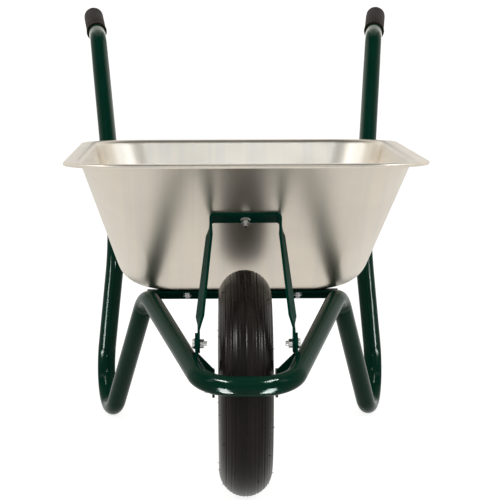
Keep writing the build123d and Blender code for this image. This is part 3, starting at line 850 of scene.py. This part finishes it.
@dataclass
class Tyre:
    """The ribbed tyre, one section turned about the axle, with the moulding's vent hairs."""

    axle: Pair = (230.0, 184.0)
    radius: float = 184.0
    width: float = 86.0
    opening: float = 31.95
    section_sides: int = 180
    rib_pitch: int = 4
    grooves: Tuple[float, ...] = (0.95, 0.3, 0.55, 0.3, 0.75, 0.4)
    tread: float = 76.0
    steps: int = 160
    hairs: int = 22
    hair_leans: Tuple[float, ...] = (80.0, 58.0, 26.0)
    hair_shift: float = 0.25
    hair_sides: int = 6
    hair_root: float = 0.7
    hair_tip: float = 0.35
    hair_length: float = 3.4
    hair_stand: float = 1.0

    def build(self, shop: Workshop) -> None:
        """Turns the section about the axle and sets the vent hairs.

        Args:
            shop: Maker of pieces.
        """
        axle = at(0.0, *self.axle)
        section = self.width / 2
        middle = axle + Vector((0.0, 0.0, (self.radius - section) * MM))
        bm = bmesh.new()
        upright = Matrix.Translation(middle) @ Matrix.Rotation(math.pi / 2, 4, "X")
        ring = bmesh.ops.create_circle(bm, radius=section * MM, segments=self.section_sides,
                                       matrix=upright)["verts"]
        for index, vert in enumerate(ring):
            arm = vert.co - middle
            tilt = math.degrees(math.atan2(abs(arm.x), arm.z))
            if tilt < self.tread and index % self.rib_pitch == 0:
                groove = self.grooves[index // self.rib_pitch % len(self.grooves)]
                vert.co -= arm.normalized() * groove * MM
        low = [vert for vert in ring if vert.co.z < middle.z and abs(vert.co.x) < self.opening * MM]
        bmesh.ops.delete(bm, geom=low, context="VERTS")
        bmesh.ops.spin(bm, geom=bm.verts[:] + bm.edges[:], cent=axle, axis=(1, 0, 0),
                       angle=2 * math.pi, steps=self.steps, use_merge=True)
        bmesh.ops.remove_doubles(bm, verts=bm.verts[:], dist=WELD)
        bmesh.ops.recalc_face_normals(bm, faces=bm.faces[:])
        self.add_hairs(bm, axle, section)
        shop.piece(bm, "ribbed_tyre", TYRE, Body.WHEEL, ("tyre",), sharp=50.0, gloss=Gloss.RUBBER)

    def add_hairs(self, bm: bmesh.types.BMesh, axle: Vector, section: float) -> None:
        """Adds the thin rubber hairs that the mould's vents leave on the tread and both shoulders.

        Args:
            bm: The tyre's mesh.
            axle: Centre of the wheel.
            section: Radius of the tyre's section in millimetres.
        """
        rise = Matrix.Translation((0.0, 0.0, (self.radius - section) * MM))
        stand = Matrix.Translation((0.0, 0.0, (section + self.hair_stand) * MM))
        for side in (-1, 1):
            for index in range(self.hairs):
                lean = math.radians(side * self.hair_leans[index % len(self.hair_leans)])
                angle = (index + self.hair_shift * side) * 2 * math.pi / self.hairs
                turn = Matrix.Translation(axle) @ Matrix.Rotation(angle, 4, "X")
                bmesh.ops.create_cone(
                    bm, cap_ends=True, segments=self.hair_sides, radius1=self.hair_root * MM,
                    radius2=self.hair_tip * MM, depth=self.hair_length * MM,
                    matrix=turn @ rise @ Matrix.Rotation(lean, 4, "Y") @ stand)


# Grips


@dataclass
class Grip:
    """A ribbed rubber sleeve with a collar, on the end of a handle."""

    length: float = 118.0
    radius: float = 18.75
    collar_radius: float = 19.75
    bore_radius: float = 16.1
    ribs: int = 24
    rib_sides: int = 4
    groove: float = 1.2

    def stations(self) -> List[Tuple[float, float, bool]]:
        """The sleeve's rings, from the collar's mouth to the closed end.

        Returns:
            For each ring the distance along the sleeve, the radius and whether it is ribbed.
        """
        end, sleeve, collar = self.length, self.radius, self.collar_radius
        return [
            (0.0, self.bore_radius, False), (0.0, collar - 0.8, False), (0.6, collar, False),
            (3.4, collar, False), (4.0, collar - 0.6, False), (4.6, sleeve - 0.6, False),
            (9.0, sleeve - 0.6, False), (12.0, sleeve, True), (end - 14.0, sleeve, True),
            (end - 11.0, sleeve - 0.4, False), (end - 6.0, sleeve - 0.4, False),
            (end - 3.4, sleeve - 1.2, False), (end - 1.5, sleeve - 2.8, False),
            (end - 0.3, sleeve - 6.0, False), (end, sleeve - 9.0, False),
        ]

    def build(self, shop: Workshop, side: int) -> None:
        """Builds one grip.

        Args:
            shop: Maker of pieces.
            side: -1 for the left grip, 1 for the right one.
        """
        elbow, tip = (at(side * point[0], *point[1:]) for point in (ELBOW.corner, GRIP_TIP))
        facing = (tip - elbow).normalized()
        bm = bmesh.new()
        loops = []
        for along, radius, ribbed in self.stations():
            ring = bmesh.ops.create_circle(bm, radius=radius * MM, segments=self.rib_sides * self.ribs,
                                           matrix=Matrix.Translation((0, 0, along * MM)))["verts"]
            if ribbed:
                hollow = [vert for index, vert in enumerate(ring) if index % self.rib_sides == 0]
                shrink = 1 - self.groove / radius
                bmesh.ops.scale(bm, verts=hollow, vec=(shrink, shrink, 1.0))
            loops.append(edges_between(ring))
        for first, second in zip(loops, loops[1:]):
            bmesh.ops.bridge_loops(bm, edges=first + second)
        bmesh.ops.edgeloop_fill(bm, edges=loops[-1])
        bmesh.ops.recalc_face_normals(bm, faces=bm.faces[:])
        mouth = tip - facing * self.length * MM
        bmesh.ops.transform(bm, verts=bm.verts[:], matrix=standing(mouth, facing))
        name = "left" if side < 0 else "right"
        shop.piece(bm, f"ribbed_grip_{name}", GRIP, Body.FRAME, (f"grip_{name}",), sharp=50.0,
                   gloss=Gloss.RUBBER)


# Plate work and fasteners


@dataclass(frozen=True)
class Dressing:
    """CAD nodes that keep their shape, with their finish, their body and the width of their edges."""

    finish: Finish
    body: Body
    edge: float
    nodes: Tuple[str, ...]


@dataclass
class Hardware:
    """Flat bars, brackets and fasteners, whose CAD shapes get eased edges and a finish."""

    bar_edge: float = 0.7
    fastener_edge: float = 0.45

    def dressings(self) -> List[Dressing]:
        """The nodes by finish and body.

        Returns:
            The dressings in the order in which they are made.
        """
        bar, fastener = self.bar_edge, self.fastener_edge
        return [
            Dressing(PLATE_PAINT, Body.FRAME, bar, (
                "front_crossbar", "rear_crossbar", "axle_bracket_left", "axle_bracket_right",
                "front_brace")),
            Dressing(ZINC, Body.FRAME, fastener, (
                "tray_floor_bolts", "tray_floor_washers", "tray_floor_nuts", "tray_rear_bolts",
                "tray_rear_washers", "tray_rear_nuts", "brace_wall_bolt", "brace_wall_washer",
                "brace_wall_nut", "brace_lower_bolts", "brace_lower_nuts", "axle_washers",
                "axle_nuts")),
            Dressing(STEEL, Body.FRAME, fastener, (
                "axle", "axle_spacers", "centre_spacer", "bearing_inner_rings")),
            Dressing(STEEL, Body.WHEEL, fastener, ("bearing_outer_rings", "bearing_balls")),
            Dressing(RIM, Body.WHEEL, bar, ("hub", "rim_half_left", "rim_half_right")),
            Dressing(ZINC, Body.WHEEL, fastener, ("rim_bolts", "rim_nuts")),
            Dressing(TUBE_RUBBER, Body.WHEEL, fastener, ("inner_tube", "valve_stem")),
            Dressing(CAP, Body.WHEEL, fastener, ("valve_cap",)),
        ]

    def build(self, shop: Workshop) -> None:
        """Dresses each CAD node that keeps its shape.

        Args:
            shop: Maker of pieces.
        """
        for dressing in self.dressings():
            for node in dressing.nodes:
                shop.softened(node, dressing.finish, dressing.body, dressing.edge)


# Studio


WHITE: Tint = (1.0, 1.0, 1.0)
COOL: Tint = (0.90, 0.96, 1.0)
COLD: Tint = (0.80, 0.89, 1.0)
WARM: Tint = (1.0, 1.0, 0.86)


@dataclass(frozen=True)
class Lamp:
    """A rectangular soft lamp in metres and watts, or only its highlight on some glossy pieces."""

    name: str
    place: Point
    aim: Point
    size: Pair
    power: float
    colour: Tint = WHITE
    gloss: Optional[Gloss] = None
    spread: float = 180.0

    def build(self, shop: Workshop, side: int) -> None:
        """Adds the lamp.

        Args:
            shop: Holder of the glossy pieces.
            side: 1 as it is written, -1 for its mirror image.
        """
        place, aim = (Vector((side * point[0], *point[1:])) for point in (self.place, self.aim))
        data = bpy.data.lights.new(self.name, "AREA")
        data.shape = "RECTANGLE"
        data.size, data.size_y = self.size
        data.energy = self.power
        data.color = self.colour
        data.spread = math.radians(self.spread)
        made = bpy.data.objects.new(self.name, data)
        made.location = place
        made.visible_camera = False
        made.rotation_euler = (aim - place).to_track_quat("-Z", "Y").to_euler()
        bpy.context.scene.collection.objects.link(made)
        if self.gloss:
            made.visible_diffuse = False
            made.light_linking.receiver_collection = shop.glossy[self.gloss]


@dataclass
class Studio:
    """White floor, soft lamps and the camera of the photograph."""

    camera_place: Point = (-75.4, -3923.0, 1360.2)
    camera_pitch: float = 77.06
    camera_turn: float = -1.15
    lens: float = 190.9
    sensor: float = 36.0
    view_length: float = 100.0
    floor_size: float = 30.0
    floor_drop: float = 0.5
    floor_colour: Colour = (0.58, 0.575, 0.56, 1.0)
    floor_seen: float = 0.84
    floor_mirrored: float = 0.62
    room_behind: Colour = (0.97, 0.96, 0.93, 1.0)
    room_ahead: Colour = (0.5, 0.5, 0.5, 1.0)
    room_above: Colour = (0.12, 0.12, 0.12, 1.0)
    ahead_range: Pair = (-0.55, 0.25)
    above_range: Pair = (0.3, 0.92)
    nose_aim: Point = (0.037, NOSE_FRONT, 0.2385)
    card_behind_grip: float = 0.28
    card_above_grip: float = 0.15

    def camera(self) -> None:
        """Adds the camera."""
        data = bpy.data.cameras.new("camera")
        data.lens = self.lens
        data.sensor_width = self.sensor
        data.clip_end = self.view_length
        made = bpy.data.objects.new("camera", data)
        made.location = at(*self.camera_place)
        made.rotation_euler = (math.radians(self.camera_pitch), 0.0, math.radians(self.camera_turn))
        bpy.context.scene.collection.objects.link(made)
        bpy.context.scene.camera = made

    def floor_material(self) -> bpy.types.Material:
        """Makes the floor's white, which also shows in reflections.

        Returns:
            The material.
        """
        made = bpy.data.materials.new("white_floor")
        made.use_nodes = True
        nodes = NodeTree(made.node_tree)
        made.node_tree.nodes.clear()
        matt = nodes.add("ShaderNodeBsdfDiffuse")
        matt.inputs["Color"].default_value = self.floor_colour
        path = nodes.add("ShaderNodeLightPath").outputs
        mirrored = nodes.math("MAXIMUM", path["Is Glossy Ray"], path["Is Transmission Ray"])
        glow = nodes.add("ShaderNodeEmission")
        glow.inputs["Color"].default_value = (*WHITE, 1.0)
        strength = nodes.math(
            "MAXIMUM", nodes.math("MULTIPLY", path["Is Camera Ray"], self.floor_seen),
            nodes.math("MULTIPLY", mirrored, self.floor_mirrored))
        nodes.join(strength, glow.inputs["Strength"])
        both = nodes.add("ShaderNodeAddShader")
        nodes.join(matt.outputs[0], both.inputs[0])
        nodes.join(glow.outputs[0], both.inputs[1])
        nodes.join(both.outputs[0], nodes.add("ShaderNodeOutputMaterial").inputs["Surface"])
        return made

    def floor(self) -> None:
        """Adds the floor, which keeps the barrow's shadow."""
        bm = bmesh.new()
        bmesh.ops.create_grid(bm, x_segments=1, y_segments=1, size=self.floor_size)
        mesh = bpy.data.meshes.new("floor")
        bm.to_mesh(mesh)
        bm.free()
        mesh.materials.append(self.floor_material())
        floor = bpy.data.objects.new("floor", mesh)
        floor.location = (0.0, 0.0, -self.floor_drop * MM)
        bpy.context.scene.collection.objects.link(floor)

    def world(self) -> None:
        """Sets a soft grey room, light behind the barrow, darker overhead and behind the camera."""
        made = bpy.data.worlds.new("studio_room")
        made.use_nodes = True
        bpy.context.scene.world = made
        nodes = NodeTree(made.node_tree)
        split = nodes.add("ShaderNodeSeparateXYZ")
        nodes.join(nodes.add("ShaderNodeTexCoord").outputs["Generated"], split.inputs[0])
        ahead = nodes.spread(split.outputs["Y"], 1.0, 0.0, *self.ahead_range)
        above = nodes.spread(split.outputs["Z"], 0.0, 1.0, *self.above_range)
        level = nodes.blend(ahead, self.room_behind, self.room_ahead)
        colour = nodes.blend(above, level, self.room_above)
        nodes.join(colour, made.node_tree.nodes["Background"].inputs["Color"])

    def middle_lamps(self) -> List[Lamp]:
        """The lamps in front of the barrow: a softbox, and a flash that shows in the tray.

        Returns:
            The lamps.
        """
        return [
            Lamp("front_softbox", (0.0, -4.1, 4.2), (0.0, 0.1, 0.4), (6.6, 2.6), 33.0, COOL),
            Lamp("centre_flash", (0.05, -3.2, 4.0), (0.0, 0.1, 0.4), (0.3, 0.5), 4.5, COLD,
                 Gloss.SHEETS),
        ]

    def side_lamps(self) -> List[Lamp]:
        """The lamps on the right. The cards stand where the tube mirrors them to the camera.

        Returns:
            The lamps, which all have mirror images on the left.
        """
        elbow, tip = at(*ELBOW.corner), at(*GRIP_TIP)
        behind_grip = tip + (tip - elbow).normalized() * self.card_behind_grip
        behind_grip.z += self.card_above_grip
        return [
            Lamp("side_light", (2.3, -1.4, 2.3), (0.0, -0.45, 0.25), (0.6, 1.2), 12.0),
            Lamp("side_window", (2.8, -1.3, 2.75), (0.0, -0.45, 0.25), (0.2, 0.9), 52.0,
                 gloss=Gloss.RUBBER),
            Lamp("ceiling_strip", (0.95, -0.7, 2.9), (0.95, -0.7, 0.0), (0.5, 2.6), 120.0,
                 gloss=Gloss.TUBES),
            Lamp("low_card", (0.131, NOSE_FRONT - 0.134, 0.0913), self.nose_aim, (0.093, 0.224), 10.0,
                 gloss=Gloss.TUBES),
            Lamp("high_card", (0.163, NOSE_FRONT - 0.066, 0.568), self.nose_aim, (0.16, 0.05), 5.0,
                 gloss=Gloss.TUBES),
            Lamp("leg_strip", (0.377, -0.03, 0.165), (0.245, 0.09, 0.25), (0.03, 0.3), 0.5,
                 gloss=Gloss.TUBES, spread=70.0),
            Lamp("grip_card", tuple(behind_grip), tuple(elbow), (0.4, 0.75), 1.2, WARM, Gloss.TUBES),
            Lamp("side_fill", (3.0, -0.9, 3.0), (0.0, 0.1, 0.5), (4.0, 2.0), 30.0, COLD, Gloss.SHEETS),
        ]

    def build(self, shop: Workshop) -> None:
        """Builds the whole studio.

        Args:
            shop: Holder of the glossy pieces.
        """
        self.camera()
        self.floor()
        self.world()
        for lamp in self.middle_lamps():
            lamp.build(shop, 1)
        for side in (-1, 1):
            for lamp in self.side_lamps():
                lamp.build(shop, side)
        bpy.context.scene.view_settings.view_transform = "Standard"


def main() -> None:
    """Builds the barrow, piece by piece, and the studio."""
    logging.basicConfig(level=logging.INFO, format="%(name)s: %(message)s")
    shop = Workshop()
    FrameTube().build(shop)
    Tray().build(shop)
    Tyre().build(shop)
    for side in (-1, 1):
        Grip().build(shop, side)
    Hardware().build(shop)
    Studio().build(shop)


if __name__ == "__main__":
    main()
